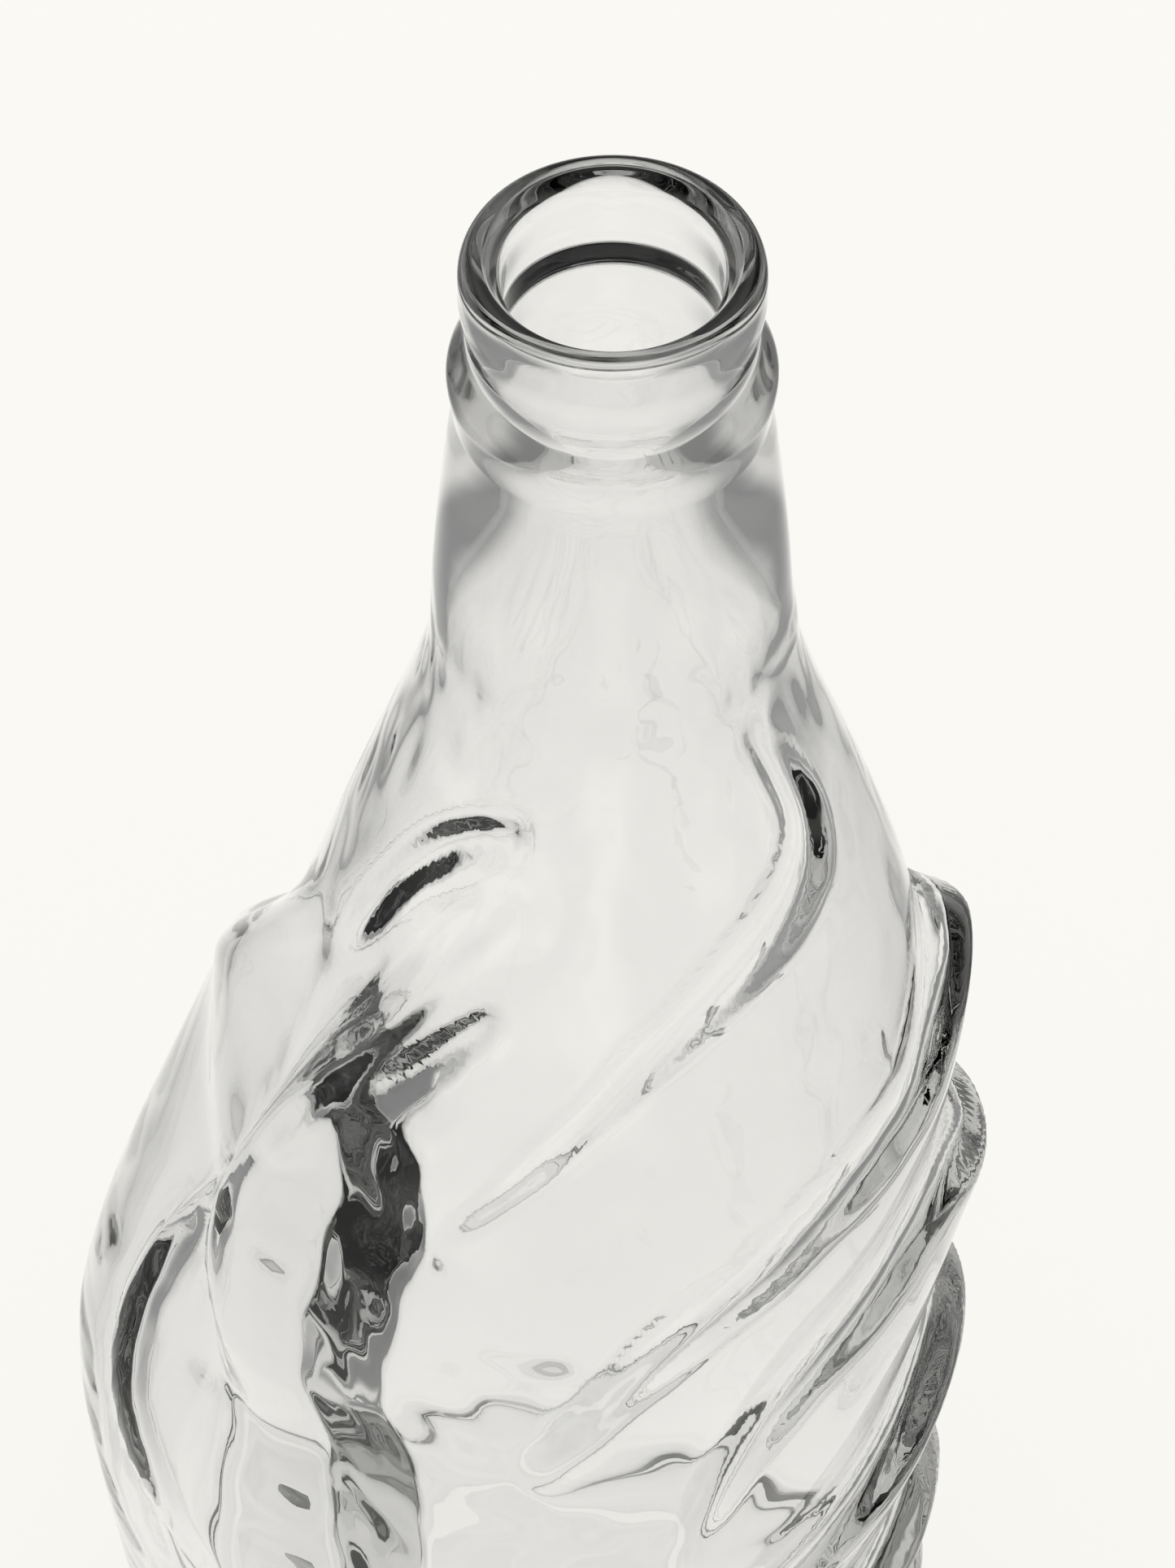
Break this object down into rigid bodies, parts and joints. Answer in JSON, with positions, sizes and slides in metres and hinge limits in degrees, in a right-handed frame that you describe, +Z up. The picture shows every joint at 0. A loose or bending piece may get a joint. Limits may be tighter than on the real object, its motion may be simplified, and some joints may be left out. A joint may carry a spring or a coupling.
{
  "type": "glass soda bottle",
  "caption": "Empty clear glass soda bottle with a crown finish, a slim neck and a lopsided body wrapped in a free-form swirl of ledges.",
  "frame": {"origin": "Centre of the bounding box at its underside, on the surface the bottle stands on. The neck axis stands at x 8.7 mm, y 0.2 mm, because the body bulges to the left.", "axes": "+Z up through the neck, -Y to the front, +X to the right, the side away from the big bulge"},
  "size_m": [0.0882, 0.0724, 0.21],
  "materials": {
    "clear_glass": "smooth clear colourless soda-lime glass"
  },
  "bodies": {
    "root": {"bottle": "clear_glass"}
  },
  "joints": []
}
